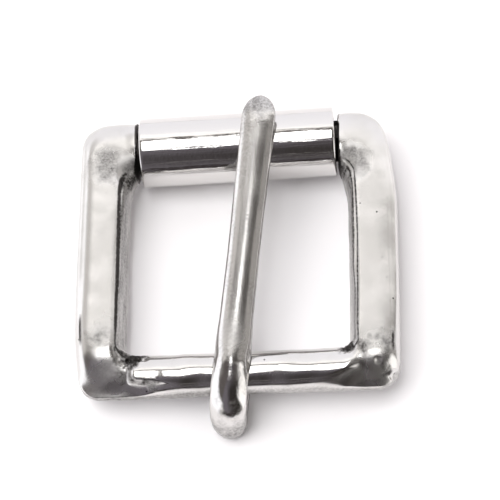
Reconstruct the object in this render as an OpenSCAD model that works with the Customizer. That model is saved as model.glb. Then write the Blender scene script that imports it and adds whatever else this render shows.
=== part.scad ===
// Cast roller buckle for a 38 mm strap: one frame, a roller on its front bar and a prong on its heel bar.
// The heel bar lies towards -Y and the roller towards +Y. The buckle lies face up, with its back at the bottom.

/* [Frame] */
// Clear width between the side bars
strap_gap = 38.1; // [38:0.1:39]
// Width of a side bar
side_bar_w = 9.1; // [9:0.1:9.6]
// Thickness of the casting, and the diameter of its round heel bar
bar_d = 7.7; // [7.5:0.1:7.8]
// Distance between the axes of the heel bar and the front bar
axis_gap = 42.7; // [42:0.1:44]
// Reach of the front corners past the axis of the front bar
front_reach = 5.15; // [5:0.05:5.3]
// Diameter of the front bar inside the roller
front_bar_d = 7.6; // [7.2:0.1:7.6]
// Lean of the hand-finished casting out of square, in degrees
lean = 1.5; // [0:0.1:2]
// Slope of the inner walls: how much further apart they stand at the face than at the back, per side
draft = 1.2; // [0.8:0.1:1.4]

/* [Roller] */
// Outside diameter of the roller
roller_d = 12.46; // [12.3:0.02:12.6]
// Length of the roller
roller_len = 34.6; // [34:0.1:34.8]
// Running gap round the front bar
roller_play = 0.6; // [0.3:0.05:0.8]
// Gap between each end of the roller and the cheek beside it
end_play = 0.45; // [0.3:0.05:0.6]
// Slant of the front bar and its roller across the frame, in degrees
roller_slant = 1.0; // [0:0.1:1.2]

/* [Prong] */
// Width of the shank halfway along
shank_w = 5.6; // [5.2:0.1:5.8]
// Width of the shank over the roller
tip_w = 6.0; // [5.8:0.1:6.4]
// Width of the knuckle
knuckle_w = 6.3; // [6:0.1:6.6]
// Thickness of the shank beside the knuckle
shank_t = 3.3; // [3:0.1:3.5]
// Thickness of the shank over the roller
tip_t = 2.6; // [2.4:0.1:2.9]
// Gap all round between the eye and the heel bar
eye_play = 0.25; // [0.15:0.05:0.3]
// Reach of the knuckle in front of the axis of the heel bar
knuckle_reach = 10.2; // [9.8:0.1:10.6]
// Turn of the prong across the frame, in degrees
prong_turn = 7.4; // [0:0.1:8]
// Place of the prong along the heel bar
prong_x = -1.17; // [-2:0.01:2]

/* [Hidden] */

// Heights: the roller and the underside of the knuckle both stand on the surface below
axis_z = roller_d / 2;
bar_r = bar_d / 2;
// The origin is in the middle of the whole length, from the front of the knuckle to the far side of the roller
rim_r = 0.35;
near_reach = knuckle_reach - 0.05;
far_reach = axis_gap + roller_d / 2 + sin(roller_slant) * (roller_len / 2 - rim_r);
heel_y = (near_reach - far_reach) / 2;
roller_y = heel_y + axis_gap;
// Half sizes of the frame in plan, measured from the middle of the strap gap
outer_x = strap_gap / 2 + side_bar_w;
inner_x = strap_gap / 2;
cheek_x = roller_len / 2 + end_play;
front_y = axis_gap + front_reach;
cheek_near_y = axis_gap - front_reach - 0.1;
// Plan distance from the heel bar's axis at which the lean moves nothing sideways
lean_pivot_y = 24.65;
front_shift = tan(lean) * (axis_gap - lean_pivot_y);
// The back is ground flat this far above the underside of the round heel bar
back_grind = 0.12;

// The two sides were finished by hand and differ a little. One row for each: sign, front corner radii across
// and along, heel corner radii across and along, inward tuck of the outer wall at the heel, inner heel
// fillet, the power of the curve that joins the inner wall to the cheek, and the inward tuck of the outer
// wall at the front
LEFT = [-1, 6, 5.8, 3, 3.6, 1.6, 2.6, 3, 0];
RIGHT = [1, 5.1, 7.4, 3.8, 4.4, 0.2, 1.4, 1.8, 2.3];
SIGN = 0;
FRONT_RX = 1;
FRONT_RY = 2;
HEEL_RX = 3;
HEEL_RY = 4;
TUCK = 5;
FILLET = 6;
CHEEK_POWER = 7;
FRONT_TUCK = 8;
tuck_len = 18;
front_tuck_len = 16.5;
// How square the front corners are in plan: 2 is an ellipse, and larger is squarer
front_power = 2.5;
// The top of each heel corner is filed off this far, so that it falls away towards the heel
corner_file = 0.95;
cheek_blend = 5.9;
bar_end_x = 15;

// Stations round one half of the frame: cheek, front corner, side bar, heel corner, heel bar end
CHEEK_N = 4;
FRONT_N = 10;
SIDE_N = 6;
HEEL_N = 9;
END_N = 3;
ring_n = 24;

// How square each quarter of the section is: 2 is an ellipse, and larger is squarer.
// One row for each place: station, outer top, inner top, inner back, outer back, share of the draft
SQUARENESS = [
    [0, 2.8, 2.3, 3.5, 3.5, 0],
    [4, 3.0, 2.4, 4.0, 4.0, 0],
    [9, 3.2, 2.8, 5.0, 5.0, 0.4],
    [14, 3.2, 6.0, 6.0, 6.0, 1],
    [19, 3.2, 7.0, 6.0, 6.0, 1],
    [21, 3.0, 5.0, 5.0, 5.0, 0.9],
    [25, 2.3, 2.6, 2.8, 2.8, 0.3],
    [29, 2.0, 2.0, 2.0, 2.0, 0],
    [33, 2.0, 2.0, 2.0, 2.0, 0],
];
function column(table, c) = [for (row = table) [row[0], row[c]]];

function span(a, b, n) = [for (i = [0:n - 1]) a + (b - a) * i / n];

// Plan points along the outer edge of one half, as [across, along] from the middle of the heel bar
function tucked(p, side) = [
    p[0] - side[TUCK] * pow(max(0, 1 - (p[1] + bar_r) / tuck_len), 2)
        - side[FRONT_TUCK] * pow(max(0, 1 - (front_y - p[1]) / front_tuck_len), 1.15),
    p[1]
];
function outer_edge(side) = let (
    fx = side[FRONT_RX], fy = side[FRONT_RY], hx = side[HEEL_RX], hy = side[HEEL_RY], tuck = side[TUCK],
    q = 2 / front_power
) concat(
    [for (x = span(cheek_x, outer_x - fx - side[FRONT_TUCK], CHEEK_N)) [x, front_y]],
    [for (a = span(90, 0, FRONT_N))
        tucked([outer_x - fx + fx * pow(cos(a), q), front_y - fy + fy * pow(sin(a), q)], side)],
    [for (y = span(front_y - fy, hy - bar_r, SIDE_N)) tucked([outer_x, y], side)],
    [for (a = span(0, -90, HEEL_N)) tucked([outer_x - hx + hx * cos(a), hy - bar_r + hy * sin(a)], side)],
    [for (x = span(outer_x - hx - tuck, bar_end_x, END_N)) [x, -bar_r]],
    [[bar_end_x, -bar_r]]
);

// Plan points along the inner edge of one half, one for each point of the outer edge
function cheek_wall(y, power) =
    inner_x - (inner_x - cheek_x) * pow(max(0, (y - cheek_near_y) / cheek_blend + 1), power);
function inner_edge(side) = let (
    power = side[CHEEK_POWER], f = side[FILLET], turn_n = CHEEK_N + FRONT_N,
    wall_top = cheek_near_y - cheek_blend, wall_foot = bar_r + f
) concat(
    [for (y = span(cheek_near_y, wall_top, turn_n)) [cheek_wall(y, power), y]],
    [for (y = span(wall_top, wall_foot, SIDE_N)) [inner_x, y]],
    [for (a = span(180, 270, HEEL_N)) [inner_x - f - f * cos(a), wall_foot + f * sin(a)]],
    [for (x = span(inner_x - f, bar_end_x, END_N)) [x, bar_r]],
    [[bar_end_x, bar_r]]
);

// Point at angle a of an outline between an ellipse and a rectangle, with half sizes hw and hh
function rounded_point(a, hw, hh, n) = [
    hw * sign(cos(a)) * pow(abs(cos(a)), 2 / n),
    hh * sign(sin(a)) * pow(abs(sin(a)), 2 / n)
];
function eased(v, start, end) = let (t = min(1, max(0, (v - start) / (end - start)))) t * t * (3 - 2 * t);
// A point of a frame section, leaned over and placed on the table, with the heel corners filed down
function leaned(p, side_sign) = let (
    x = side_sign * p[0] + tan(lean) * (p[1] - lean_pivot_y), y = heel_y + p[1],
    filed = eased(abs(x), 14, 22.5) * eased(-y, 14.6, 21) * eased(p[2], axis_z, axis_z + 3.4)
) [x, y, p[2] - corner_file * filed];

// One section of the frame: a closed outline in the upright plane through an inner and an outer plan point
function frame_section(inner, outer, station, side_sign) = let (
    mid = (inner + outer) / 2, half = norm(outer - inner) / 2, dir = (outer - inner) / (2 * half),
    share = lookup(station, column(SQUARENESS, 5))
) [for (i = [0:ring_n - 1]) let (
    a = 360 * i / ring_n,
    n = lookup(station, column(SQUARENESS, 1 + floor(a / 90))),
    u = rounded_point(a, half, bar_r, n),
    slope = draft * share * max(0, -u[0] / half) * (u[1] / bar_r + 1) / 2,
    p = mid + dir * (u[0] + slope),
    z = axis_z + max(u[1], back_grind - bar_r)
) leaned([p[0], p[1], z], side_sign)];

// Skin a list of sections that all have the same number of points
module loft(sections, inside_out) {
    n = len(sections[0]);
    last = len(sections) - 1;
    sides = [for (i = [0:last - 1], j = [0:n - 1]) let (
        a = i * n + j, b = i * n + (j + 1) % n, c = a + n, d = b + n
    ) each [[a, b, c], [b, d, c]]];
    caps = [[for (j = [n - 1:-1:0]) j], [for (j = [0:n - 1]) last * n + j]];
    faces = concat(sides, caps);
    polyhedron([for (s = sections) each s],
        inside_out ? [for (f = faces) [for (k = [len(f) - 1:-1:0]) f[k]]] : faces);
}

module half_frame(side) {
    inner = inner_edge(side);
    outer = outer_edge(side);
    sections = [for (i = [0:len(inner) - 1]) frame_section(inner[i], outer[i], i, side[SIGN])];
    loft(sections, side[SIGN] > 0);
}

// A round bar or tube about an axis along X
module along_x(length, r) {
    rotate([0, 90, 0]) cylinder(h = length, r = r, center = true, $fn = 96);
}

// The casting: side bars with their corners, the heel bar, and the front bar that the roller hides
module frame() {
    color("silver") union() {
        half_frame(LEFT);
        half_frame(RIGHT);
        translate([0, heel_y, axis_z]) along_x(2 * bar_end_x + 2, bar_r - 0.02);
        translate([front_shift, roller_y, axis_z]) rotate([0, 0, roller_slant])
            along_x(2 * cheek_x + 4, front_bar_d / 2);
    }
}

// A turned tube with softened rims
module roller() {
    bore_r = front_bar_d / 2 + roller_play;
    outer_r = roller_d / 2;
    half = roller_len / 2;
    color("gainsboro") translate([front_shift, roller_y, axis_z]) rotate([0, 0, roller_slant])
        rotate([0, 90, 0]) rotate_extrude($fn = 96) polygon(concat(
            [for (a = [0:22.5:90]) [outer_r - rim_r + rim_r * cos(a), half - rim_r + rim_r * sin(a)]],
            [[bore_r, half], [bore_r, -half]],
            [for (a = [-90:22.5:0]) [outer_r - rim_r + rim_r * cos(a), rim_r - half + rim_r * sin(a)]]
        ));
}

// Side view of the prong: distance along it from the heel bar's axis, and height above that axis
eye_r = bar_r + eye_play;
tip_reach = 49.3;
tip_round = 4.2;
tip_under = axis_z + 0.3;
crest_along = 1.2;
crest_rise = eye_r + 2.15;
near_drop = 10.3;
foot_r = 2;
tail_end_angle = 372;
shank_from = 7;
top_slope = (tip_under + tip_t - crest_rise) / (tip_reach - tip_round - crest_along);
function shank_top(s) = crest_rise + top_slope * (s - crest_along);
function shank_thickness(s) = shank_t + (tip_t - shank_t) * (s - shank_from) / (tip_reach - tip_round - shank_from);
function shank_width(s) =
    lookup(s, [[0, knuckle_w], [9, shank_w + 0.2], [20, shank_w], [tip_reach - tip_round, tip_w]]);

// Each station is [outer point, inner point, width, squareness outside, squareness inside]
TIP_N = 6;
SHANK_N = 9;
NEAR_N = 9;
FOOT_N = 4;
TAIL_N = 8;
prong_ring_n = 20;
tip_stations = [for (a = span(12, 90, TIP_N)) let (
    s = tip_reach - tip_round + tip_round * cos(a),
    full = shank_top(s), half_t = shank_thickness(s) / 2
) [
    [s, full - 2 * half_t * 0.6 * (1 - sin(a))], [s, full - 2 * half_t + half_t * 0.5 * (1 - sin(a))],
    shank_width(s) * sin(a), 2.4, 3
]];
shank_stations = [for (s = span(tip_reach - tip_round, shank_from, SHANK_N))
    [[s, shank_top(s)], [s, shank_top(s) - shank_thickness(s)], shank_width(s), 2.6, 4]];
near_stations = [for (i = [0:NEAR_N - 1]) let (
    a = 90 + 88 * i / (NEAR_N - 1), b = 40 + 140 * i / (NEAR_N - 1)
) [
    [crest_along + (knuckle_reach + crest_along) * cos(a), crest_rise - near_drop + near_drop * sin(a)],
    [-1.5 + 5.3 * cos(b), -0.1 + 3.9 * sin(b)],
    knuckle_w, 2.6 - 0.6 * i / (NEAR_N - 1), 3
]];
foot_stations = [for (i = [1:FOOT_N]) let (a = 180 + 90 * i / FOOT_N, b = 180 + 75 * i / FOOT_N) [
    [foot_r - knuckle_reach + foot_r * cos(a), foot_r - axis_z + foot_r * sin(a)],
    [-1.5 + 5.3 * cos(b), -0.1 + 3.9 * sin(b)],
    knuckle_w - 0.2 * i, 2 + 0.15 * i, 3
]];
tail_stations = [for (i = [0:TAIL_N]) let (a = 262 + (tail_end_angle - 262) * i / TAIL_N) [
    [axis_z * cos(a), axis_z * sin(a)], [(eye_r - 0.25) * cos(a), (eye_r - 0.25) * sin(a)],
    knuckle_w - 0.8 - 0.8 * i / TAIL_N, 2.8, 3
]];

function prong_section(st) = let (
    mid = (st[0] + st[1]) / 2, half = norm(st[0] - st[1]) / 2, dir = (st[0] - st[1]) / (2 * half)
) [for (i = [0:prong_ring_n - 1]) let (
    a = 360 * i / prong_ring_n,
    u = rounded_point(a, st[2] / 2, half, a < 180 ? st[3] : st[4]),
    p = mid + dir * u[1]
) [u[0], p[0], p[1]]];

// The prong casting: shank, hooked knuckle and the tail that closes the eye under the heel bar
module prong() {
    stations = concat(tip_stations, shank_stations, near_stations, foot_stations, tail_stations);
    color("lightgray") translate([prong_x, heel_y, axis_z]) difference() {
        rotate([0, 0, -prong_turn]) loft([for (st = stations) prong_section(st)], true);
        along_x(3 * knuckle_w, eye_r);
    }
}

frame();
roller();
prong();
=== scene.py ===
import math

import bmesh
import bpy
import numpy as np
from mathutils import Matrix, Vector, noise


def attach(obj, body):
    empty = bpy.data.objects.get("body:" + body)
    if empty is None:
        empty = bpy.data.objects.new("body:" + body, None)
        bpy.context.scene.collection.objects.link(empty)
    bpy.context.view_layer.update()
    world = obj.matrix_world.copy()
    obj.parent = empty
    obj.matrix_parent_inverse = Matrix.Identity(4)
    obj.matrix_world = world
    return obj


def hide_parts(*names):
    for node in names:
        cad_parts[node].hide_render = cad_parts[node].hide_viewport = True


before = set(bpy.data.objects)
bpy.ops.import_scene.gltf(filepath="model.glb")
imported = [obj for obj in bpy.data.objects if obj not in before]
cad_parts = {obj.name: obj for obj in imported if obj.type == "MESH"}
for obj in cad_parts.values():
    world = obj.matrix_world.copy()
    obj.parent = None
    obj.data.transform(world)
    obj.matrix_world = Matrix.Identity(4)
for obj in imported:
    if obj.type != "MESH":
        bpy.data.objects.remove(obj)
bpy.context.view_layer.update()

# Lengths are in millimetres, unless a comment says metres
MM = 0.001

# Camera
# A long lens a third of a metre away, looking steeply down on the heel bar from a little to the right.
# The camera is turned about its own line of sight, so the buckle leans in the picture.
CAMERA_AZIMUTH = math.radians(8.99)
CAMERA_ELEVATION = math.radians(67.0)
CAMERA_ROLL = math.radians(-10.94)
CAMERA_DISTANCE = 342.08 * MM
CAMERA_TARGET = Vector((1.935, 4.55, 3.0)) * MM
FOCAL_LENGTH = 139.36
SENSOR_WIDTH = 36
NEAREST_SEEN = 10

back = Vector((
    math.sin(CAMERA_AZIMUTH) * math.cos(CAMERA_ELEVATION),
    -math.cos(CAMERA_AZIMUTH) * math.cos(CAMERA_ELEVATION),
    math.sin(CAMERA_ELEVATION),
))
level_right = (-back).cross(Vector((0, 0, 1))).normalized()
level_up = level_right.cross(-back)
right = level_right * math.cos(CAMERA_ROLL) + level_up * math.sin(CAMERA_ROLL)
up = level_up * math.cos(CAMERA_ROLL) - level_right * math.sin(CAMERA_ROLL)
camera_data = bpy.data.cameras.new("camera")
camera_data.lens = FOCAL_LENGTH
camera_data.sensor_width = SENSOR_WIDTH
camera_data.clip_start = NEAREST_SEEN * MM
camera = bpy.data.objects.new("camera", camera_data)
camera.matrix_world = Matrix.Translation(CAMERA_TARGET + back * CAMERA_DISTANCE) @ Matrix(
    (right, up, back)).transposed().to_4x4()
bpy.context.scene.collection.objects.link(camera)
bpy.context.scene.camera = camera

# Studio
# A white table in a photographer's room: a bright softbox hangs over it, pale walls stand behind it and on
# the left, and the side of the camera is dark. Polished metal shows the whole room, so each panel has the
# place and size that its reflection on the buckle needs. The room is far away, so it is painted on the sky.


def linear(hex_colour):
    """Linear colour of an sRGB hex value."""
    parts = [int(hex_colour[i:i + 2], 16) / 255 for i in (1, 3, 5)]
    return [p / 12.92 if p <= 0.04045 else ((p + 0.055) / 1.055) ** 2.4 for p in parts] + [1]


def add_node(tree, kind, inputs=None, **settings):
    """A new node with these settings, and with each input set to a value or linked to a socket."""
    node = tree.nodes.new(kind)
    for name, value in settings.items():
        setattr(node, name, value)
    for name, value in (inputs or {}).items():
        if isinstance(value, bpy.types.NodeSocket):
            tree.links.new(value, node.inputs[name])
        else:
            node.inputs[name].default_value = value
    return node


bpy.context.scene.view_settings.view_transform = "Standard"
room = bpy.data.worlds.new("photo_room")
bpy.context.scene.world = room
room.use_nodes = True
sky = room.node_tree
sky.nodes.clear()
direction = add_node(sky, "ShaderNodeTexCoord").outputs["Generated"]

# The walls and ceiling, by how far a direction leans from behind the camera (-1) to behind the table (1)
WALLS = [
    (-1.00, "#e6e4e2"),
    (-0.30, "#e0dedc"),
    (-0.16, "#625f5d"),
    (0.05, "#625f5d"),
    (0.12, "#979491"),
    (0.20, "#908d8a"),
    (0.235, "#7e7b79"),
    (0.255, "#6b6866"),
    (0.265, "#4f4b49"),
    (0.332, "#4f4b49"),
    (0.350, "#a3a09e"),
    (0.372, "#bab7b4"),
    (0.395, "#d8d6d3"),
    (0.42, "#f3f1ef"),
    (0.60, "#e0dfe2"),
    (1.00, "#d8d7db"),
]
lean = add_node(sky, "ShaderNodeSeparateXYZ", {"Vector": direction})
wall_place = add_node(sky, "ShaderNodeMapRange", {"Value": lean.outputs["Y"], "From Min": -1.0})
walls = add_node(sky, "ShaderNodeValToRGB", {"Fac": wall_place.outputs["Result"]})
for row, (where, colour) in enumerate(WALLS):
    place = (where + 1) / 2
    # A new ramp comes with two stops
    stop = walls.color_ramp.elements[row] if row < 2 else walls.color_ramp.elements.new(place)
    stop.position = place
    stop.color = linear(colour)

# Each panel: name, azimuth from behind the camera towards the right, elevation, half width and half height
# as slopes seen from the buckle, squareness where 2 is an ellipse, share of it that fades at the edge,
# colour, and brightness as a multiple of that colour. A later panel hangs in front of an earlier one
PANELS = [
    ("dark_ceiling", -8, 54.0, 1.18, 0.50, 2.5, 0.18, "#504b4a", 1.0),
    ("dark_room", -3, 36.0, 0.55, 0.80, 2.5, 0.14, "#5b575c", 1.0),
    ("dark_curtain", 24, 34.0, 0.50, 0.62, 2.5, 0.50, "#2a2725", 1.0),
    ("dark_floor", -4, 6.0, 0.80, 0.07, 4, 0.60, "#2b2726", 1.0),
    ("pale_flag", -154, 58.0, 0.15, 0.14, 2.5, 0.60, "#f8f6f4", 1.0),
    ("lamp_rail", 11, 30.0, 0.19, 0.014, 6, 0.8, "#8a8785", 1.0),
    ("light_stand", 9, 20.0, 0.16, 0.010, 6, 0.8, "#6f6c6a", 1.0),
    ("grey_screen", -121, 43.0, 0.42, 0.22, 3, 0.40, "#b3b0ae", 1.0),
    ("left_wall", -80, 16.0, 0.95, 0.30, 6, 0.16, "#f4f4f8", 1.0),
    ("right_card", 60, 20.0, 0.42, 0.40, 4, 0.10, "#f6f4f2", 1.0),
    ("dark_beam", 98, 66.0, 0.24, 0.22, 4, 0.14, "#454240", 1.0),
    ("right_shelf", 118, 38.0, 0.08, 0.03, 4, 0.5, "#92908e", 1.0),
    ("softbox", -90, 87.0, 0.258, 0.10, 8, 0.08, "#ffffff", 2.4),
]
light = walls.outputs["Color"]
for name, azimuth, elevation, half_width, half_height, square, soft, colour, brightness in PANELS:
    turn = math.radians(azimuth)
    tilt = math.radians(elevation)
    away = Vector((math.sin(turn) * math.cos(tilt), -math.cos(turn) * math.cos(tilt), math.sin(tilt)))
    across = Vector((math.cos(turn), math.sin(turn), 0))
    ahead, slide, climb = (
        add_node(sky, "ShaderNodeVectorMath", operation="DOT_PRODUCT") for _ in range(3))
    for dot, axis in ((ahead, away), (slide, across), (climb, across.cross(-away))):
        sky.links.new(direction, dot.inputs[0])
        dot.inputs[1].default_value = axis
    far = []
    for dot, half in ((slide, half_width), (climb, half_height)):
        slope = add_node(sky, "ShaderNodeMath", operation="DIVIDE", inputs={
            0: dot.outputs["Value"], 1: ahead.outputs["Value"]})
        size = add_node(sky, "ShaderNodeMath", operation="ABSOLUTE", inputs={0: slope.outputs[0]})
        share = add_node(sky, "ShaderNodeMath", operation="DIVIDE", inputs={0: size.outputs[0], 1: half})
        far.append(add_node(sky, "ShaderNodeMath", operation="POWER", inputs={
            0: share.outputs[0], 1: square}))
    both = add_node(sky, "ShaderNodeMath", operation="ADD", inputs={
        0: far[0].outputs[0], 1: far[1].outputs[0]})
    reach = add_node(sky, "ShaderNodeMath", operation="POWER", inputs={0: both.outputs[0], 1: 1 / square})
    fade = add_node(sky, "ShaderNodeMapRange", {
        "Value": reach.outputs[0], "From Min": 1 - soft, "From Max": 1 + soft, "To Min": 1.0, "To Max": 0.0},
        interpolation_type="SMOOTHSTEP")
    in_front = add_node(sky, "ShaderNodeMath", operation="GREATER_THAN", inputs={
        0: ahead.outputs["Value"], 1: 0.0})
    shade = add_node(sky, "ShaderNodeMath", operation="MULTIPLY", inputs={
        0: fade.outputs["Result"], 1: in_front.outputs[0]})
    tint = [part * brightness for part in linear(colour)[:3]] + [1]
    panel = add_node(sky, "ShaderNodeMix", {"Factor": shade.outputs[0]}, data_type="RGBA")
    sky.links.new(light, panel.inputs["A"])
    panel.inputs["B"].default_value = tint
    light = panel.outputs["Result"]
ROOM_BRIGHTNESS = 1.75
glow = add_node(sky, "ShaderNodeBackground", {"Color": light, "Strength": ROOM_BRIGHTNESS})
add_node(sky, "ShaderNodeOutputWorld", {"Surface": glow.outputs["Background"]})

# The key light is a softbox high up on the left. A polarising filter on the lens takes its glare off the
# metal, so it lights the table and casts the shadows and isn't reflected. Its lengths are in metres
KEY_SIZE = 0.55
KEY_WATTS = 3.6
KEY_PLACE = Vector((-0.26, -0.05, 0.66))
key_data = bpy.data.lights.new("key_light", "AREA")
key_data.size = KEY_SIZE
key_data.energy = KEY_WATTS
key = bpy.data.objects.new("key_light", key_data)
key.location = KEY_PLACE
key.rotation_euler = KEY_PLACE.to_track_quat("Z", "Y").to_euler()
key.visible_glossy = False
bpy.context.scene.collection.objects.link(key)

# The table's width and depth, in metres
TABLE_SIZE = 8.0
table_mesh = bpy.data.meshes.new("white_table")
edge = TABLE_SIZE / 2
table_mesh.from_pydata(
    [(-edge, -edge, 0), (edge, -edge, 0), (edge, edge, 0), (-edge, edge, 0)], [], [(0, 1, 2, 3)])
table = bpy.data.objects.new("white_table", table_mesh)
bpy.context.scene.collection.objects.link(table)
# Opal acrylic, sanded matt, so it shows soft shadows and no reflections
acrylic = bpy.data.materials.new("opal_acrylic_table")
acrylic.use_nodes = True
acrylic.node_tree.nodes.clear()
acrylic_shader = add_node(acrylic.node_tree, "ShaderNodeBsdfPrincipled", {
    "Base Color": linear("#fbf9fa"), "Roughness": 0.75, "Specular IOR Level": 0.2})
add_node(acrylic.node_tree, "ShaderNodeOutputMaterial", {"Surface": acrylic_shader.outputs["BSDF"]})
table_mesh.materials.append(acrylic)

# Frame casting
# One piece of stainless steel, cast in sand or wax and then ground, tumbled and polished by hand: two side
# bars, the round heel bar that carries the prong, and a slightly thinner front bar inside the roller.
# The polish stops at the inner walls, which keep their dull cast skin, and the two sides differ a little.
# The sizes are those of the CAD part. The casting is out of square: it leans sideways at the rate LEAN from
# the heel bar to the front, and the front bar and the roller are turned by ROLLER_SLANT
STRAP_GAP = 38.1
SIDE_BAR_W = 9.1
BAR_R = 3.85
AXIS_GAP = 42.7
FRONT_REACH = 5.15
FRONT_BAR_R = 3.8
LEAN = math.tan(math.radians(1.5))
LEAN_PIVOT_Y = 24.65
DRAFT = 1.2
ROLLER_R = 6.23
ROLLER_LEN = 34.6
ROLLER_SLANT = math.radians(1.0)
END_PLAY = 0.45
BACK_GRIND = 0.12
AXIS_Z = ROLLER_R
HEEL_Y = -19.538
ROLLER_Y = HEEL_Y + AXIS_GAP
FRONT_SHIFT = LEAN * (AXIS_GAP - LEAN_PIVOT_Y)
OUTER_X = STRAP_GAP / 2 + SIDE_BAR_W
INNER_X = STRAP_GAP / 2
CHEEK_X = ROLLER_LEN / 2 + END_PLAY
FRONT_Y = AXIS_GAP + FRONT_REACH
CHEEK_OVERHANG = 0.1
CHEEK_NEAR_Y = AXIS_GAP - FRONT_REACH - CHEEK_OVERHANG
CHEEK_BLEND = 5.9
TUCK_LEN = 18
BAR_END_X = 15
FRONT_TUCK_LEN = 16.5
FRONT_TUCK_POWER = 1.15
FRONT_POWER = 2.5
# The depths of the two cuts that the file made in each heel corner, where the line of the cuts crosses the
# heel bar, and the height above the bars' axis from which the file took the full depth
CORNER_FILE = 0.95
CORNER_TURN = 0.90
FILE_LINE_Y = -21.5
FILE_FULL_AT = 3.4

# Each side: sign, front corner radii across and along, heel corner radii across and along, inward tuck of
# the outer wall at the heel and at the front, inner heel fillet, and the power of the curve that joins the
# inner wall to the cheek. Then the filing of its heel corner: where it starts and is full across the buckle,
# with the slant of that line, how far a feather moves the two inwards and outwards, with where the feather
# starts and is full along the buckle, and where each of the two cuts starts and is full along the buckle
SIDES = {
    "left": dict(
        sign=-1, front=(6.0, 5.8), heel=(3.0, 3.6), tuck=(1.6, 0.0), fillet=2.6, power=3.0,
        filed_across=(17.8, 19.3, 0), feather=(8.0, 1.5, 20.8, 22.0), filed=(14.6, 21.0, 16.0, 22.0)),
    "right": dict(
        sign=1, front=(5.1, 7.4), heel=(3.8, 4.4), tuck=(0.2, 2.3), fillet=1.4, power=1.8,
        filed_across=(17.4, 20.6, 0.5), feather=(4.0, 1.5, 20.4, 22.6), filed=(17.2, 22.2, 18.2, 24.6)),
}
# Stations round one half of the casting: where each stretch ends, and its rings
CHEEK_END, CORNER_END, BAR_END, HEEL_END, FILLET_END, MIDDLE = 4, 14, 20, 29, 32, 40
RINGS = [(CHEEK_END, 10), (CORNER_END, 72), (BAR_END, 84), (HEEL_END, 66), (FILLET_END, 30), (MIDDLE, 52)]
RING_QUARTER = 28
OUTLINE_STEPS = 160
SMOOTHING_PASSES = 16
# How square each quarter of the section is at each station, where 2 is an ellipse, and the draft's share:
# station, outer top, inner top, inner back, outer back, share
SQUARENESS = np.array([
    [0, 2.8, 2.3, 3.5, 3.5, 0],
    [4, 3.0, 2.4, 4.0, 4.0, 0],
    [9, 3.2, 2.8, 5.0, 5.0, 0.4],
    [14, 3.2, 6.0, 6.0, 6.0, 1],
    [19, 3.2, 7.0, 6.0, 6.0, 1],
    [21, 3.0, 5.0, 5.0, 5.0, 0.9],
    [25, 2.3, 2.6, 2.8, 2.8, 0.3],
    [29, 2.0, 2.0, 2.0, 2.0, 0],
    [40, 2.0, 2.0, 2.0, 2.0, 0],
])


def plan_points(side, s):
    """Outer and inner plan points of one half at station s, from the middle of the heel bar."""
    fx, fy = side["front"]
    hx, hy = side["heel"]
    fillet = side["fillet"]
    bar_top = FRONT_Y - fy
    bar_foot = hy - BAR_R
    heel_tuck, front_tuck = side["tuck"]
    if s < CHEEK_END:
        outer = (CHEEK_X + (OUTER_X - fx - front_tuck - CHEEK_X) * s / CHEEK_END, FRONT_Y)
    elif s < CORNER_END:
        a = math.radians(90 - 90 * (s - CHEEK_END) / (CORNER_END - CHEEK_END))
        outer = (OUTER_X - fx + fx * math.cos(a) ** (2 / FRONT_POWER),
                 bar_top + fy * math.sin(a) ** (2 / FRONT_POWER))
    elif s < BAR_END:
        outer = (OUTER_X, bar_top + (bar_foot - bar_top) * (s - CORNER_END) / (BAR_END - CORNER_END))
    elif s < HEEL_END:
        a = math.radians(-90 * (s - BAR_END) / (HEEL_END - BAR_END))
        outer = (OUTER_X - hx + hx * math.cos(a), bar_foot + hy * math.sin(a))
    elif s < FILLET_END:
        foot_x = OUTER_X - hx
        outer = (foot_x + (BAR_END_X - foot_x) * (s - HEEL_END) / (FILLET_END - HEEL_END), -BAR_R)
    else:
        outer = (BAR_END_X * (MIDDLE - s) / (MIDDLE - FILLET_END), -BAR_R)
    if CHEEK_END <= s < FILLET_END:
        keep = max(0.0, (FILLET_END - max(s, HEEL_END)) / (FILLET_END - HEEL_END))
        drawn_in = keep * heel_tuck * max(0, 1 - (outer[1] + BAR_R) / TUCK_LEN) ** 2
        drawn_in += front_tuck * max(0, 1 - (FRONT_Y - outer[1]) / FRONT_TUCK_LEN) ** FRONT_TUCK_POWER
        outer = (outer[0] - drawn_in, outer[1])
    wall_top = CHEEK_NEAR_Y - CHEEK_BLEND
    wall_foot = BAR_R + fillet
    if s < CORNER_END:
        y = CHEEK_NEAR_Y + (wall_top - CHEEK_NEAR_Y) * s / CORNER_END
        inner = (INNER_X - (INNER_X - CHEEK_X) * ((y - CHEEK_NEAR_Y) / CHEEK_BLEND + 1) ** side["power"], y)
    elif s < BAR_END:
        inner = (INNER_X, wall_top + (wall_foot - wall_top) * (s - CORNER_END) / (BAR_END - CORNER_END))
    elif s < HEEL_END:
        a = math.radians(180 + 90 * (s - BAR_END) / (HEEL_END - BAR_END))
        inner = (INNER_X - fillet - fillet * math.cos(a), wall_foot + fillet * math.sin(a))
    elif s < FILLET_END:
        foot_x = INNER_X - fillet
        inner = (foot_x + (BAR_END_X - foot_x) * (s - HEEL_END) / (FILLET_END - HEEL_END), BAR_R)
    else:
        inner = (BAR_END_X * (MIDDLE - s) / (MIDDLE - FILLET_END), BAR_R)
    return np.array(outer), np.array(inner)


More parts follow.
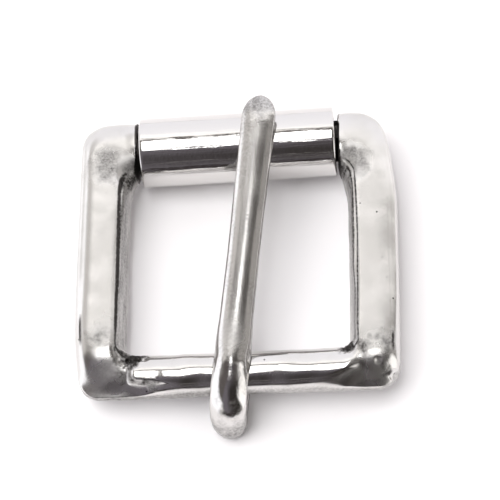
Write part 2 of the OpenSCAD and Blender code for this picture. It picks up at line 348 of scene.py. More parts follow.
def rounded_ring(half_w, half_h, powers, quarter_count):
    """Evenly spaced points round an outline whose four quarters may differ in squareness."""
    fine = np.linspace(0, math.pi / 2, OUTLINE_STEPS)
    points = []
    for quarter, power in enumerate(powers):
        x = half_w * np.cos(fine) ** (2 / power)
        y = half_h * np.sin(fine) ** (2 / power)
        x[-1] = 0
        run = np.concatenate([[0], np.cumsum(np.hypot(np.diff(x), np.diff(y)))])
        at = np.linspace(0, run[-1], quarter_count + 1)
        x, y = np.interp(at, run, x), np.interp(at, run, y)
        if quarter == 0:
            points += list(zip(x, y))[:-1]
        elif quarter == 1:
            points += list(zip(-x[::-1], y[::-1]))[:-1]
        elif quarter == 2:
            points += list(zip(-x, -y))[:-1]
        else:
            points += list(zip(x[::-1], -y[::-1]))[:-1]
    return np.array(points)


def rise(values, start, end):
    """A smooth step from 0 at start to 1 at end."""
    t = np.clip((values - start) / (end - start), 0, 1)
    return t * t * (3 - 2 * t)


def frame_ring(side, s):
    """One closed ring of the casting, in the upright plane through an outer and an inner plan point."""
    outer, inner = plan_points(side, s)
    middle = (inner + outer) / 2
    half = np.linalg.norm(outer - inner) / 2
    out = (outer - inner) / (2 * half)
    row = [np.interp(s, SQUARENESS[:, 0], SQUARENESS[:, column]) for column in range(1, 6)]
    ring = rounded_ring(half, BAR_R, row[:4], RING_QUARTER)
    slope = DRAFT * row[4] * np.maximum(0, -ring[:, 0] / half) * (ring[:, 1] / BAR_R + 1) / 2
    plan = middle + np.outer(ring[:, 0] + slope, out)
    x = side["sign"] * plan[:, 0] + LEAN * (plan[:, 1] - LEAN_PIVOT_Y)
    y = HEEL_Y + plan[:, 1]
    return np.column_stack([x, y, AXIS_Z + np.maximum(ring[:, 1], BACK_GRIND - BAR_R)])


def half_casting(side):
    """The rings of one half, from the cheek beside the roller to the middle of the heel bar."""
    stations = []
    start = 0
    for end, count in RINGS:
        stations += list(np.linspace(start, end, count, endpoint=False))
        start = end
    rings = np.array([frame_ring(side, s) for s in stations + [MIDDLE]])
    for _ in range(SMOOTHING_PASSES):
        rings[3:-1] = rings[3:-1] / 2 + (rings[2:-2] + rings[4:]) / 4
    # The file took the heel corner down, along a line that slants at its inner end
    x, y, z = rings.transpose(2, 0, 1)
    across_from, across_to, slant = side["filed_across"]
    inwards, outwards, feather_from, feather_to = side["feather"]
    file_from, file_to, turn_from, turn_to = side["filed"]
    feather = rise(-y, feather_from, feather_to)
    across = rise(
        abs(x) - slant * (y - FILE_LINE_Y), across_from - inwards * feather, across_to + outwards * feather)
    filed = CORNER_FILE * rise(-y, file_from, file_to) + CORNER_TURN * rise(-y, turn_from, turn_to)
    rings[..., 2] -= across * filed * rise(z, AXIS_Z, AXIS_Z + FILE_FULL_AT)
    return rings


def front_bar_ring(along):
    """One ring of the round bar inside the roller, at a distance along it from its middle."""
    a = np.arange(4 * RING_QUARTER) * math.tau / (4 * RING_QUARTER)
    x = FRONT_SHIFT + along * math.cos(ROLLER_SLANT) - FRONT_BAR_R * np.cos(a) * math.sin(ROLLER_SLANT)
    y = ROLLER_Y + along * math.sin(ROLLER_SLANT) + FRONT_BAR_R * np.cos(a) * math.cos(ROLLER_SLANT)
    return np.column_stack([x, y, AXIS_Z + FRONT_BAR_R * np.sin(a)])


def cheek_face(ring, inset):
    """The cheek's first ring drawn in by inset, which leaves a narrow bevel round the cheek's end."""
    middle = ring.mean(axis=0)
    reach = np.linalg.norm(ring - middle, axis=1, keepdims=True)
    return ring + (middle - ring) * inset / reach


CHEEK_BEVEL = 0.25
FRONT_BAR_RINGS = 24
BAR_PAST_CHEEK = 0.02
left_rings = half_casting(SIDES["left"])
right_rings = half_casting(SIDES["right"])[::-1]
bar_span = CHEEK_X + BAR_PAST_CHEEK
bar_rings = np.array([front_bar_ring(x) for x in np.linspace(bar_span, -bar_span, FRONT_BAR_RINGS)])
left_face = cheek_face(left_rings[0], CHEEK_BEVEL)
right_face = cheek_face(right_rings[-1], CHEEK_BEVEL)
left_rings[0, :, 0] -= CHEEK_BEVEL
right_rings[-1, :, 0] += CHEEK_BEVEL
casting = np.concatenate([[left_face], left_rings, right_rings[1:], [right_face], bar_rings])


def mesh_object(name, rings, closed, caps=False):
    """A mesh skinned over rings of points in millimetres, all with the same number of points."""
    count, size, _ = rings.shape
    faces = []
    for i in range(count if closed else count - 1):
        for j in range(size):
            a, b = i * size + j, i * size + (j + 1) % size
            c, d = (i + 1) % count * size + (j + 1) % size, (i + 1) % count * size + j
            faces.append((a, b, c, d))
    if caps:
        faces += [tuple(range(size - 1, -1, -1)), tuple((count - 1) * size + j for j in range(size))]
    mesh = bpy.data.meshes.new(name)
    mesh.from_pydata((rings.reshape(-1, 3) * MM).tolist(), [], faces)
    work = bmesh.new()
    work.from_mesh(mesh)
    bmesh.ops.recalc_face_normals(work, faces=work.faces)
    work.to_mesh(mesh)
    work.free()
    mesh.shade_smooth()
    thing = bpy.data.objects.new(name, mesh)
    bpy.context.scene.collection.objects.link(thing)
    return thing


frame_casting = mesh_object("frame_casting", casting, closed=True)


def points_and_normals(mesh):
    """The points of a mesh in millimetres, and its smooth normals, as two arrays."""
    points = np.empty(len(mesh.vertices) * 3)
    mesh.vertices.foreach_get("co", points)
    normals = np.array([n.vector[:] for n in mesh.vertex_normals])
    return points.reshape(-1, 3) / MM, normals


def carve(mesh, depths):
    """Moves each point inwards along its normal by its depth in millimetres."""
    points, normals = points_and_normals(mesh)
    mesh.vertices.foreach_set("co", ((points - normals * depths[:, None]) * MM).ravel())
    mesh.update()


def ripple(points, length, seed=0.0):
    """Smooth noise from 0 to 1 whose humps are about length millimetres apart."""
    return np.array([noise.noise(Vector(p) / length + Vector((seed, 0, 0))) for p in points]) * 0.5 + 0.5


def near(points, centre, reach):
    """1 at a centre and falling smoothly to 0 at reach, where each may be given for X, Y and Z."""
    far = np.linalg.norm((points - np.array(centre)) / np.array(reach), axis=1)
    return np.clip(1 - far ** 2, 0, 1) ** 2


# What the grinder left: centre, reach and depth of each hollow, in millimetres
HOLLOWS = [
    ((-22.6, 19.4, 10.1), (4.2, 4.6, 4.0), 0.26),
    ((-18.6, 18.0, 9.6), (2.6, 3.4, 4.0), 0.42),
    ((21.2, 18.0, 10.1), (3.6, 4.6, 4.0), 0.30),
    ((-19.3, -14.6, 9.8), (2.8, 4.4, 4.0), 0.50),
    ((26.3, -21.4, 7.0), (1.3, 1.1, 2.6), 0.60),
    ((23.6, -19.4, 9.2), (0.8, 0.8, 2.0), 0.25),
]
# Where the polish is poor, and where dark skin paints shade or dark reflections (marked): centre, reach,
# amount of dull cast skin or painted shade, and amount of satin where it is only hazy
POLISH_AND_SHADE_PATCHES = [
    ((-23.0, 19.4, 9.8), (4.4, 6.0, 4.0), 0.95, 0.5),
    ((21.8, 17.8, 9.8), (3.6, 5.4, 4.0), 0.72, 0.9),
    ((-19.8, 19.0, 9.4), (3.2, 5.2, 4.0), 0.30, 1.0),
    # Painted shade, in this row and the next: the dark shaded corners inside the cheeks, beside the ends of
    # the roller
    ((-17.4, 17.0, 8.0), (3.4, 6.4, 5.0), 1.5, 0.8),
    ((18.6, 17.4, 7.8), (2.6, 5.0, 5.0), 1.3, 0.6),
    ((-18.0, -16.6, 8.6), (2.9, 3.6, 4.0), 2.2, 0.4),
    ((-20.8, -15.4, 9.6), (0.9, 6.4, 4.0), 1.4, 0.7),
    ((-19.5, -15.8, 9.4), (0.8, 6.0, 4.0), 1.7, 0.7),
    ((21.3, -17.4, 9.6), (1.6, 2.8, 3.0), 1.2, 0.8),
    # Painted dark reflection, in this row and the next two: the dark patch of the left heel corner, running
    # into the heel bar's dark band
    ((-19.9, -20.0, 8.8), (2.2, 2.0, 2.6), 1.0, 0.9),
    ((-18.1, -20.9, 9.0), (1.3, 1.7, 2.0), 1.4, 0.9),
    ((-16.0, -21.6, 9.0), (4.6, 0.9, 2.0), 1.6, 0.8),
    # Painted shade: the darker top of the left bar towards the heel
    ((-23.0, -12.2, 10.0), (5.0, 4.0, 2.0), 0.42, 0.6),
    ((25.2, -16.8, 9.6), (1.7, 2.4, 2.5), 0.9, 0.8),
    ((18.4, -16.3, 8.6), (2.0, 2.0, 3.6), 1.9, 0.4),
    ((-24.1, -13.4, 10.0), (3.6, 1.8, 1.5), 0.80, 0.7),
    ((23.4, -15.0, 10.0), (3.6, 2.0, 1.5), 0.85, 0.7),
    ((20.4, 19.6, 9.6), (3.0, 3.4, 4.0), 0.80, 1.0),
    ((-22.6, -18.6, 8.6), (6.6, 5.4, 4.6), 0.36, 0.5),
    ((23.0, -19.0, 8.6), (5.0, 4.4, 4.6), 0.36, 0.45),
    # Painted shade, in this row and the next two: the darker reflection of the shadowed table on the lower
    # front of the heel bar, by both corners
    ((-24.0, -22.4, 5.5), (4.4, 2.8, 4.0), 0.9, 0.8),
    ((-21.6, -23.4, 6.2), (7.0, 1.4, 2.0), 1.1, 0.9),
    ((24.5, -22.2, 5.5), (3.4, 2.2, 4.0), 0.7, 0.6),
    ((24.0, -19.6, 9.0), (1.5, 1.0, 2.0), 1.2, 0.3),
    # Painted dark reflection: the dark patch at the right heel corner
    ((25.6, -21.0, 8.0), (1.5, 1.3, 2.0), 1.8, 0.3),
]
# The waviness of a bar polished by hand: length and seed of its humps, share that stays untouched, and depth
WAVES = [
    (7.5, 0.0, 0.25, 0.42),
    (3.4, 7.0, 0.30, 0.16),
]
# The tops and outer walls of the side bars are truer by this share, and the belt took this much off them
TRUER = 0.75
OUTER_GRIND = 0.04
TOP_GRIND = 0.30
points, normals = points_and_normals(frame_casting.data)
facing_up = rise(normals[:, 2], 0.5, 0.9)
on_bars = rise(abs(points[:, 0]), 17.5, 20.0)
depths = sum(
    depth * np.maximum(0, ripple(points, length, seed) - untouched)
    for length, seed, untouched, depth in WAVES)
depths *= 1 - TRUER * facing_up * on_bars
outward = np.sign(points[:, 0]) * normals[:, 0]
depths *= 1 - TRUER * rise(outward, 0.4, 0.9)
depths += OUTER_GRIND * rise(outward, 0.2, 0.6)
depths += TOP_GRIND * facing_up * on_bars * rise(points[:, 1], -15.0, 1.0)
for centre, reach, depth in HOLLOWS:
    depths += depth * near(points, centre, reach)
# Burrs and shrink holes in the two inner heel corners
LEFT_PITS, RIGHT_PITS = 1.0, 0.8
left_corner = near(points, (-17.8, -16.5, 8.6), (2.9, 3.3, 3.8))
right_corner = near(points, (18.4, -16.2, 8.4), (2.0, 2.0, 3.6))
lumps = rise(ripple(points, 0.8, 3.0), 0.42, 0.62)
depths += (LEFT_PITS * left_corner + RIGHT_PITS * right_corner) * lumps
# A narrow ground land along the arris of each inner wall
LAND_DEPTH = 0.10
inward = -np.sign(points[:, 0]) * normals[:, 0]
along_wall = on_bars * rise(20 - points[:, 1], -2, 3)
arris = on_bars * rise(inward, 0.12, 0.45) * rise(-inward, -0.9, -0.55) * rise(normals[:, 2], 0.1, 0.4)
depths += LAND_DEPTH * arris * rise(points[:, 1], -14, -10)
# The inner walls keep a thin cast skin with drawn-out streaks. Along the arris dark lines are painted,
# standing in for the dark reflection of its rounding: one on the left, and on the right two, one each side of
# a bright line that was ground along it. The lines' places are counted in rows of points from the row on the
# arris. Amounts of skin run from 0, where the metal is polished, to 2, where it is darkest
STREAK_DEPTH = 0.07
ARRIS_ROW = 43
ARRIS_WANDER = 1.2
LEFT_WALL_SKIN, RIGHT_WALL_SKIN = 0.58, 0.66
STREAK_SKIN = 0.30
LEFT_END_SKIN = 0.16
LEFT_PAINTED_LINE_AT, LEFT_PAINTED_LINE_SPREAD, LEFT_PAINTED_LINE_DARKNESS = 0.6, 1.3, 1.9
RIGHT_PAINTED_LINES_AT, RIGHT_PAINTED_LINE_DARKNESS = (-1.8, 1.9), 1.6
section_row = np.arange(len(points)) % (4 * RING_QUARTER)
left_side = points[:, 0] < 0
streaks = rise(ripple(points * (1.0, 0.14, 1.0), 0.6, 11.0), 0.3, 0.7)
inner_wall = along_wall * rise(inward, 0.55, 0.9)
depths += inner_wall * STREAK_DEPTH * streaks
wander = ripple(points * (1.0, 0.3, 1.0), 2.0, 31.0) - 0.5
from_arris = section_row - ARRIS_ROW - ARRIS_WANDER * wander
skin_and_shade = inner_wall * (
    np.where(left_side, LEFT_WALL_SKIN, RIGHT_WALL_SKIN) + STREAK_SKIN * streaks
    + LEFT_END_SKIN * left_side * rise(points[:, 1], -6, 12))
# A painted dark reflection line along the left arris
left_painted_line = np.clip(1.8 - abs(from_arris - LEFT_PAINTED_LINE_AT) / LEFT_PAINTED_LINE_SPREAD, 0, 1)
skin_and_shade = np.maximum(skin_and_shade, LEFT_PAINTED_LINE_DARKNESS * (along_wall * left_side * left_painted_line))
bright_line = ~left_side * rise(points[:, 1], -4, -1)
# Two painted dark reflection lines beside the right arris
for line_at in RIGHT_PAINTED_LINES_AT:
    painted_dark_line = np.clip(1.35 - abs(from_arris - line_at), 0, 1)
    skin_and_shade = np.maximum(skin_and_shade, RIGHT_PAINTED_LINE_DARKNESS * along_wall * ~left_side * painted_dark_line)
on_arris = np.clip(1.2 - abs(from_arris), 0, 1)
skin_and_shade *= 1 - bright_line * on_arris
BAR_SATIN, WALL_SATIN = 0.30, 0.35
satin = BAR_SATIN * on_bars + WALL_SATIN * inner_wall
# The edge of each poorly polished or painted patch is ragged: how far it strays, and the length of its humps
STRAY, STRAY_LENGTH = 2.6, 1.7
stray = np.stack([ripple(points, STRAY_LENGTH, seed) - 0.5 for seed in (21.0, 22.0, 23.0)], axis=1)
ragged = points + STRAY * stray
for centre, reach, dull_and_shade, hazy in POLISH_AND_SHADE_PATCHES:
    skin_and_shade = np.maximum(skin_and_shade, dull_and_shade * near(ragged, centre, reach))
    satin = np.maximum(satin, hazy * near(points, centre, reach))
# Near the roller the bright line also shows through the poorly polished and painted-shade patches
SHOWS_THROUGH = 0.8
skin_and_shade *= 1 - SHOWS_THROUGH * bright_line * rise(points[:, 1], 6, 9) * on_arris
# A dark line painted at the foot of each outer arris, standing in for the dark reflection of its rounding,
# over this stretch of each side towards the heel bar
LEFT_PAINTED_EDGE, RIGHT_PAINTED_EDGE = (8.0, 15.0), (13.0, 18.5)
PAINTED_EDGE_DARKNESS = 1.6
edge_from, edge_to = (np.where(left_side, a, b) for a, b in zip(LEFT_PAINTED_EDGE, RIGHT_PAINTED_EDGE))
painted_edge_line = rise(outward, 0.36, 0.50) * rise(-outward, -0.66, -0.54) * (normals[:, 2] > 0)
painted_edge_line *= rise(-points[:, 1], edge_from, edge_from + 2.0) * rise(points[:, 1], -edge_to, 2.0 - edge_to)
skin_and_shade = np.maximum(skin_and_shade, PAINTED_EDGE_DARKNESS * painted_edge_line)
# The front bar and the cheeks' faces are as cast, because no wheel gets in there
FACE_DEPTH = 0.30
FACE_SKIN = 2.0
between_cheeks = abs(points[:, 0] - FRONT_SHIFT) < CHEEK_X + FACE_DEPTH
skin_and_shade = np.maximum(skin_and_shade, FACE_SKIN * between_cheeks * (points[:, 1] > 15))
# The underside of the heel bar is the least polished, more so in its left half, and its dark skin is also
# painted shade: the darker reflection of the shadowed table under it
UNDER_SKIN_AND_SHADE, UNDER_SKIN_AND_SHADE_LEFT = 0.62, 0.20
UNDER_SATIN, UNDER_SATIN_LEFT = 0.35, 0.45
under_heel = rise(-normals[:, 2], -0.62, -0.25) * rise(-points[:, 1], 18.0, 20.0)
left_half = rise(-points[:, 0], -4, 4)
skin_and_shade = np.maximum(skin_and_shade, under_heel * (UNDER_SKIN_AND_SHADE + UNDER_SKIN_AND_SHADE_LEFT * left_half))
satin = np.maximum(satin, under_heel * (UNDER_SATIN + UNDER_SATIN_LEFT * left_half))
carve(frame_casting.data, depths)


def store(mesh, name, values, highest):
    """Keeps a value for each point of a mesh, from 0 to highest, for its material to read."""
    mesh.attributes.new(name, "FLOAT", "POINT").data.foreach_set("value", np.clip(values, 0, highest))


# The dark skin stored here is partly real cast skin and partly painted shade and painted dark reflections,
# from the patches and lines marked above
store(frame_casting.data, "cast_skin_and_shade", skin_and_shade, 2)
store(frame_casting.data, "satin", satin, 1)
# The metal's colours, and in millimetres the size of buffing patches, of grit with its depth, and the spacing
# of shrink holes
CLEAN_STEEL, FILMED_STEEL, SKIN_AND_SHADE_COLOUR = "#d8d6d4", "#d3d1ce", "#2e2a28"
PATCH_SIZE = 5
GRIT_SIZE, GRIT_DEPTH = 0.45, 0.045
HOLE_SPACING = 3.2


def polished_casting(name, marks, mark_depth, clean, hazy):
    """Cast stainless steel, hand polished, with marks of this length along X, Y and Z and of this depth, in
    millimetres. Its roughness runs from clean to hazy in soft patches, like the film that buffing leaves.
    Bright and slightly wavy where the wheel reached, and grey, gritty and dull where cast skin is left. The
    same dark skin colour also paints shade and dark reflections where the mesh marks them."""
    metal = bpy.data.materials.new(name)
    metal.use_nodes = True
    tree = metal.node_tree
    tree.nodes.clear()
    place = add_node(tree, "ShaderNodeTexCoord").outputs["Object"]
    cast_skin_and_shade = add_node(tree, "ShaderNodeAttribute", attribute_name="cast_skin_and_shade").outputs["Fac"]
    stretched = add_node(tree, "ShaderNodeMapping", {
        "Vector": place, "Scale": Vector([1 / (length * MM) for length in marks])})
    wheel_marks = add_node(tree, "ShaderNodeTexNoise", {
        "Vector": stretched.outputs["Vector"], "Scale": 1.0, "Detail": 3.0, "Roughness": 0.55})
    patches = add_node(tree, "ShaderNodeTexNoise", {
        "Vector": place, "Scale": 1 / (PATCH_SIZE * MM), "Detail": 4.0})
    grit = add_node(tree, "ShaderNodeTexNoise", {
        "Vector": place, "Scale": 1 / (GRIT_SIZE * MM), "Detail": 3.0, "Roughness": 0.65})
    dull_and_shade = add_node(tree, "ShaderNodeMath", operation="MULTIPLY", inputs={
        0: cast_skin_and_shade, 1: grit.outputs["Fac"]})
    dark = add_node(tree, "ShaderNodeMapRange", {
        "Value": dull_and_shade.outputs[0], "From Min": 0.12, "From Max": 0.72, "To Max": 0.95})
    # Shrink holes about a quarter of a millimetre wide, one here and there
    cells = add_node(tree, "ShaderNodeTexVoronoi", {
        "Vector": place, "Scale": 1 / (HOLE_SPACING * MM)})
    hole = add_node(tree, "ShaderNodeMapRange", {
        "Value": cells.outputs["Distance"], "From Min": 0.035, "From Max": 0.06,
        "To Min": 0.9, "To Max": 0.0})
    darkest = add_node(tree, "ShaderNodeMath", operation="MAXIMUM", inputs={
        0: dark.outputs["Result"], 1: hole.outputs["Result"]})
    film = add_node(tree, "ShaderNodeMapRange", {
        "Value": patches.outputs["Fac"], "From Min": 0.38, "From Max": 0.66, "To Max": 1.0})
    steel = add_node(tree, "ShaderNodeMix", {"Factor": film.outputs["Result"]}, data_type="RGBA")
    steel.inputs["A"].default_value = linear(CLEAN_STEEL)
    steel.inputs["B"].default_value = linear(FILMED_STEEL)
    colour = add_node(tree, "ShaderNodeMix", {"Factor": darkest.outputs[0]}, data_type="RGBA")
    tree.links.new(steel.outputs["Result"], colour.inputs["A"])
    colour.inputs["B"].default_value = linear(SKIN_AND_SHADE_COLOUR)
    haze = add_node(tree, "ShaderNodeMapRange", {
        "Value": film.outputs["Result"], "To Min": clean, "To Max": hazy})
    satin = add_node(tree, "ShaderNodeAttribute", attribute_name="satin").outputs["Fac"]
    hazed = add_node(tree, "ShaderNodeMath", operation="MULTIPLY_ADD", inputs={
        0: satin, 1: 0.32, 2: haze.outputs["Result"]})
    rough = add_node(tree, "ShaderNodeMath", operation="MULTIPLY_ADD", inputs={
        0: cast_skin_and_shade, 1: 0.12, 2: hazed.outputs[0]})
    fine = add_node(tree, "ShaderNodeBump", {
        "Height": wheel_marks.outputs["Fac"], "Strength": 1.0, "Distance": mark_depth * MM})
    gritty = add_node(tree, "ShaderNodeBump", {
        "Height": dull_and_shade.outputs[0], "Strength": 1.0, "Distance": GRIT_DEPTH * MM,
        "Normal": fine.outputs["Normal"]})
    shader = add_node(tree, "ShaderNodeBsdfPrincipled", {
        "Base Color": colour.outputs["Result"], "Metallic": 1.0, "Roughness": rough.outputs[0],
        "Normal": gritty.outputs["Normal"]})
    add_node(tree, "ShaderNodeOutputMaterial", {"Surface": shader.outputs["BSDF"]})
    return metal


frame_casting.data.materials.append(polished_casting(
    "hand_polished_cast_stainless", marks=(0.8, 1.6, 0.8), mark_depth=0.010, clean=0.10, hazy=0.17))
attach(frame_casting, "frame")
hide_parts("frame")

# Roller
# A length of stainless steel tube, turned to size, with its rims broken, and buffed to a mirror. It is
# slipped on the front bar before the bar is closed, so it runs loose between the cheeks.
ROLLER_PLAY = 0.6
RIM_R = 0.35
BORE_BEVEL = 0.2
TUBE_RING_POINTS = 160
RIM_RINGS, FLANK_RINGS, BORE_RINGS = 6, 110, 12
bore_r = FRONT_BAR_R + ROLLER_PLAY
half_len = ROLLER_LEN / 2
rim = [(half_len - RIM_R + RIM_R * math.sin(a), ROLLER_R - RIM_R + RIM_R * math.cos(a))
       for a in np.linspace(0, math.pi / 2, RIM_RINGS)]
flank = [(x, ROLLER_R) for x in np.linspace(-half_len + RIM_R, half_len - RIM_R, FLANK_RINGS)]
bore = [(x, bore_r) for x in np.linspace(half_len, -half_len, BORE_RINGS)]
profile = np.array(
    [(-x, r) for x, r in rim[:0:-1]] + flank + rim[1:]
    + [(half_len, bore_r + BORE_BEVEL)] + bore + [(-half_len, bore_r + BORE_BEVEL)])
turn = np.arange(TUBE_RING_POINTS) * math.tau / TUBE_RING_POINTS
tube = np.stack([
    np.repeat(profile[:, :1], TUBE_RING_POINTS, axis=1),
    profile[:, 1:] * np.cos(turn),
    profile[:, 1:] * np.sin(turn),
], axis=2)
cos_slant, sin_slant = math.cos(ROLLER_SLANT), math.sin(ROLLER_SLANT)
tube = tube @ np.array([[cos_slant, sin_slant, 0], [-sin_slant, cos_slant, 0], [0, 0, 1]])
tube += (FRONT_SHIFT, ROLLER_Y, AXIS_Z)
roller_tube = mesh_object("roller_tube", tube, closed=True)
# Slight waviness of the buffed outside: length and seed of the humps, and depth
TUBE_WAVES = [
    (6.0, 5.0, 0.035),
    (2.2, 9.0, 0.010),
]
points, _ = points_and_normals(roller_tube.data)
outside = np.hypot(points[:, 1] - ROLLER_Y, points[:, 2] - AXIS_Z) > (bore_r + ROLLER_R) / 2
wavy = sum(depth * ripple(points, length, seed) for length, seed, depth in TUBE_WAVES)
carve(roller_tube.data, outside * wavy)

# Fine lines drawn out along the tube, and the dimpled skin that buffing leaves, in millimetres. Both are
# coarser than the real ones, so that they show
DRAWN_LENGTH, DRAWN_WIDTH, DRAWN_DEPTH = 9.0, 0.6, 0.034
PEEL_SIZE, PEEL_DEPTH = 0.8, 0.013
TUBE_COLOUR, TUBE_ROUGHNESS = "#dad8d6", 0.08
tube_steel = bpy.data.materials.new("buffed_stainless_tube")
tube_steel.use_nodes = True
tree = tube_steel.node_tree
tree.nodes.clear()
place = add_node(tree, "ShaderNodeTexCoord").outputs["Object"]
drawn = add_node(tree, "ShaderNodeMapping", {
    "Vector": place, "Scale": Vector((1 / DRAWN_LENGTH, 1 / DRAWN_WIDTH, 1 / DRAWN_WIDTH)) / MM})
draw_lines = add_node(tree, "ShaderNodeTexNoise", {
    "Vector": drawn.outputs["Vector"], "Scale": 1.0, "Detail": 3.0})
lines = add_node(tree, "ShaderNodeBump", {
    "Height": draw_lines.outputs["Fac"], "Strength": 1.0, "Distance": DRAWN_DEPTH * MM})
peel = add_node(tree, "ShaderNodeTexNoise", {
    "Vector": place, "Scale": 1 / (PEEL_SIZE * MM), "Detail": 2.0})
buffed = add_node(tree, "ShaderNodeBump", {
    "Height": peel.outputs["Fac"], "Strength": 1.0, "Distance": PEEL_DEPTH * MM,
    "Normal": lines.outputs["Normal"]})
tube_shader = add_node(tree, "ShaderNodeBsdfPrincipled", {
    "Base Color": linear(TUBE_COLOUR), "Metallic": 1.0, "Roughness": TUBE_ROUGHNESS,
    "Normal": buffed.outputs["Normal"]})
add_node(tree, "ShaderNodeOutputMaterial", {"Surface": tube_shader.outputs["BSDF"]})
roller_tube.data.materials.append(tube_steel)
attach(roller_tube, "roller")
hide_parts("roller")

# Prong
# A second stainless casting. Its knuckle is bent round the heel bar until the tail closes the eye from below,
# and its flat-sided shank, domed on top, lies on the roller with a filed tip.
# Widths and thicknesses, then places in the prong's side view, measured from the heel bar's axis
TIP_W, SHANK_W, KNUCKLE_W = 6.0, 5.6, 6.3
SHANK_T, TIP_T = 3.3, 2.6
EYE_PLAY = 0.25
EYE_R = BAR_R + EYE_PLAY
KNUCKLE_REACH = 10.2
PRONG_TURN = math.radians(7.4)
PRONG_X = -1.17
TIP_REACH, TIP_ROUND = 49.3, 4.2
TIP_LIFT = 0.3
TIP_UNDER = ROLLER_R + TIP_LIFT
CREST_ALONG = 1.2
CREST_T = 2.15
CREST_RISE = EYE_R + CREST_T
NEAR_DROP = 10.3
FOOT_R = 2.0
TAIL_START, TAIL_END = 262, 372
SHANK_FROM = 7.0
TIP_FROM = TIP_REACH - TIP_ROUND
TOP_SLOPE = (TIP_UNDER + TIP_T - CREST_RISE) / (TIP_FROM - CREST_ALONG)
PRONG_RING_QUARTER = 18
KNUCKLE_DOME = 1.5
CREST_HUMP = 0.36
HUMP_AT = 0.6
HUMP_TO_SHANK, HUMP_TO_KNUCKLE = 3.2, 1.5
# The width at each distance from the heel bar's axis
SHANK_WIDTHS = np.array([
    [0, KNUCKLE_W],
    [9, SHANK_W + 0.2],
    [20, SHANK_W],
    [TIP_FROM, TIP_W],
])


def crest_hump(s):
    """How far the crest of the hook stands up, long towards the shank and short towards the knuckle."""
    length = HUMP_TO_SHANK if s > HUMP_AT else HUMP_TO_KNUCKLE
    return CREST_HUMP * math.exp(-((s - HUMP_AT) / length) ** 2)


def shank_section(s):
    """Top and underside of the shank at a distance s from the heel bar's axis, and its width there."""
    top = CREST_RISE + TOP_SLOPE * (s - CREST_ALONG) + crest_hump(s)
    thick = SHANK_T + (TIP_T - SHANK_T) * (s - SHANK_FROM) / (TIP_FROM - SHANK_FROM)
    width = np.interp(s, SHANK_WIDTHS[:, 0], SHANK_WIDTHS[:, 1])
    return top, top - thick, width


def oval(centre, radii, degrees):
    """Point at this angle on an oval in the prong's side view."""
    a = math.radians(degrees)
    return np.array((centre[0] + radii[0] * math.cos(a), centre[1] + radii[1] * math.sin(a)))


# From a crease just behind the tip, its filed top drops at this slope
CREASE_FROM = TIP_FROM - 0.9
CREASE_SLOPE = 0.13
# The inside of the hook is an oval round the heel bar, and the shank's underside meets it at this angle
INSIDE = ((-1.5, -0.1), (5.3, 3.9))
CROTCH_AT = 40
# The hook is narrower by this much at the foot, and by as much again at the end of the tail
NARROWS_BY = 0.8
TIP_SECTIONS, SHANK_SECTIONS, CREST_SECTIONS = 26, 110, 18
KNUCKLE_SECTIONS, FOOT_SECTIONS, TAIL_SECTIONS = 72, 17, 40
# Each section: outer point and inner point in side view, width, squareness of the dome and of the inside, and
# the height of the dome, where 1 is half of the section
sections = []
for degrees in np.linspace(3, 90, TIP_SECTIONS, endpoint=False):
    s = TIP_FROM + TIP_ROUND * math.cos(math.radians(degrees))
    top, under, width = shank_section(s)
    short = 1 - math.sin(math.radians(degrees))
    half_t = (top - under) / 2
    sections.append((
        (s, top - 1.2 * half_t * short - CREASE_SLOPE * (s - CREASE_FROM) * (1 - short)),
        (s, under + 0.5 * half_t * short), width * math.sin(math.radians(degrees)), 2.2, 3, 1))
for s in np.linspace(TIP_FROM, SHANK_FROM, SHANK_SECTIONS, endpoint=False):
    top, under, width = shank_section(s)
    sections.append(((s, top - CREASE_SLOPE * max(0, s - CREASE_FROM)), (s, under), width, 2.0, 4, 1))
crotch = oval(*INSIDE, CROTCH_AT)
shank_end = np.array((SHANK_FROM, shank_section(SHANK_FROM)[1]))
for share in np.linspace(0, 1, CREST_SECTIONS, endpoint=False):
    s = SHANK_FROM + (CREST_ALONG - SHANK_FROM) * share
    top, under, width = shank_section(s)
    sections.append((
        (s, top), shank_end + (crotch - shank_end) * share, width + (KNUCKLE_W - width) * share, 2.0,
        4 - share, 1 + (KNUCKLE_DOME - 1) * share ** 2))
for share in np.linspace(0, 1, KNUCKLE_SECTIONS):
    outer = oval(
        (CREST_ALONG, CREST_RISE - NEAR_DROP), (KNUCKLE_REACH + CREST_ALONG, NEAR_DROP), 90 + 88 * share)
    sections.append((
        outer + (0, crest_hump(outer[0])), oval(*INSIDE, CROTCH_AT + 140 * share), KNUCKLE_W,
        2.0 - 0.2 * rise(share, 0.05, 0.35), 3, KNUCKLE_DOME))
for share in np.linspace(0, 1, FOOT_SECTIONS)[1:]:
    sections.append((
        oval((FOOT_R - KNUCKLE_REACH, FOOT_R - AXIS_Z), (FOOT_R, FOOT_R), 180 + 90 * share),
        oval(*INSIDE, 180 + 75 * share), KNUCKLE_W - NARROWS_BY * share, 1.8 + 0.8 * share, 3,
        KNUCKLE_DOME + (1 - KNUCKLE_DOME) * share))
for share in np.linspace(0, 1, TAIL_SECTIONS):
    turned = TAIL_START + (TAIL_END - TAIL_START) * share
    sections.append((
        oval((0, 0), (AXIS_Z, AXIS_Z), turned), oval((0, 0), (BAR_R, BAR_R), turned),
        KNUCKLE_W - NARROWS_BY - NARROWS_BY * share, 2.8, 3, 1))
rings = []
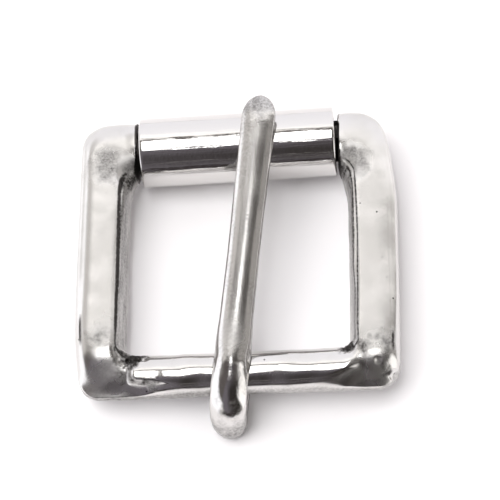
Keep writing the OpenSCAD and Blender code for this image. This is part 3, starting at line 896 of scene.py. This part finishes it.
for outer, inner, width, outside, inside, dome in sections:
    outer, inner = np.array(outer), np.array(inner)
    half = np.linalg.norm(outer - inner) / 2
    ring = rounded_ring(width / 2, half, (outside, outside, inside, inside), PRONG_RING_QUARTER)
    lift = ring[:, 1] * np.where(ring[:, 1] > 0, dome, 2 - dome) + half * (1 - dome)
    along = (outer + inner) / 2 + np.outer(lift, (outer - inner) / (2 * half))
    rings.append(np.column_stack([ring[:, 0], along]))
rings = np.array(rings)
PRONG_SMOOTHING_PASSES = 3
for _ in range(PRONG_SMOOTHING_PASSES):
    rings[1:-1] = rings[1:-1] / 2 + (rings[:-2] + rings[2:]) / 4
cos_turn, sin_turn = math.cos(PRONG_TURN), math.sin(PRONG_TURN)
rings = rings @ np.array([[cos_turn, -sin_turn, 0], [sin_turn, cos_turn, 0], [0, 0, 1]])
# The eye is a true bore, so no point of the hook comes nearer to the heel bar's axis
LEAST_DIVISOR = 0.01
from_axis = np.hypot(rings[..., 1], rings[..., 2])
out_to_bore = np.maximum(1, EYE_R / np.maximum(from_axis, LEAST_DIVISOR))
rings[..., 1:] *= out_to_bore[..., None]
rings += (PRONG_X, HEEL_Y, AXIS_Z)
prong_casting = mesh_object("prong_casting", rings, closed=False, caps=True)
points, normals = points_and_normals(prong_casting.data)
PRONG_WAVE_DEPTH = 0.04
carve(prong_casting.data, PRONG_WAVE_DEPTH * ripple(points * (1.0, 0.4, 1.0), 4.0, 2.0))
# The wheel left streaks along the shank, and hardly reached the underside, the foot of the hook and the filed
# tip: amounts of cast skin all over, in the streaks, underneath, on the tip's cap and just before it. The
# skin underneath is also painted shade, the darker reflection of the shadowed table.
ALL_OVER, STREAKED, UNDERNEATH_AND_SHADE, ON_CAP, NEAR_CAP = 0.16, 0.20, 0.60, 0.32, 0.14
shank_streaks = rise(ripple(points * (1.0, 0.14, 1.0), 1.3, 6.0), 0.35, 0.65)
dullness_and_shade = ALL_OVER + STREAKED * shank_streaks
dullness_and_shade += UNDERNEATH_AND_SHADE * rise(-normals[:, 2], -0.55, -0.1) + ON_CAP * rise(points[:, 1], 25.2, 26.4)
dullness_and_shade += NEAR_CAP * rise(points[:, 1], 20.5, 23.5)
store(prong_casting.data, "cast_skin_and_shade", dullness_and_shade, 1)
# Amounts of satin haze on the shank, on the crest of the hook and underneath
SHANK_HAZE, CREST_HAZE, UNDER_HAZE = 0.20, 0.35, 0.4
haziness = SHANK_HAZE * rise(points[:, 1], -21, -16)
haziness += CREST_HAZE * near(points, (-1.5, -14.0, 12.6), (5.0, 5.0, 3.0))
haziness += UNDER_HAZE * rise(-normals[:, 2], -0.35, 0.3)
store(prong_casting.data, "satin", haziness, 1)
prong_casting.data.materials.append(polished_casting(
    "hand_polished_prong_casting", marks=(0.5, 9.0, 0.5), mark_depth=0.014, clean=0.08, hazy=0.14))
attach(prong_casting, "prong")
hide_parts("prong")

bpy.context.view_layer.update()
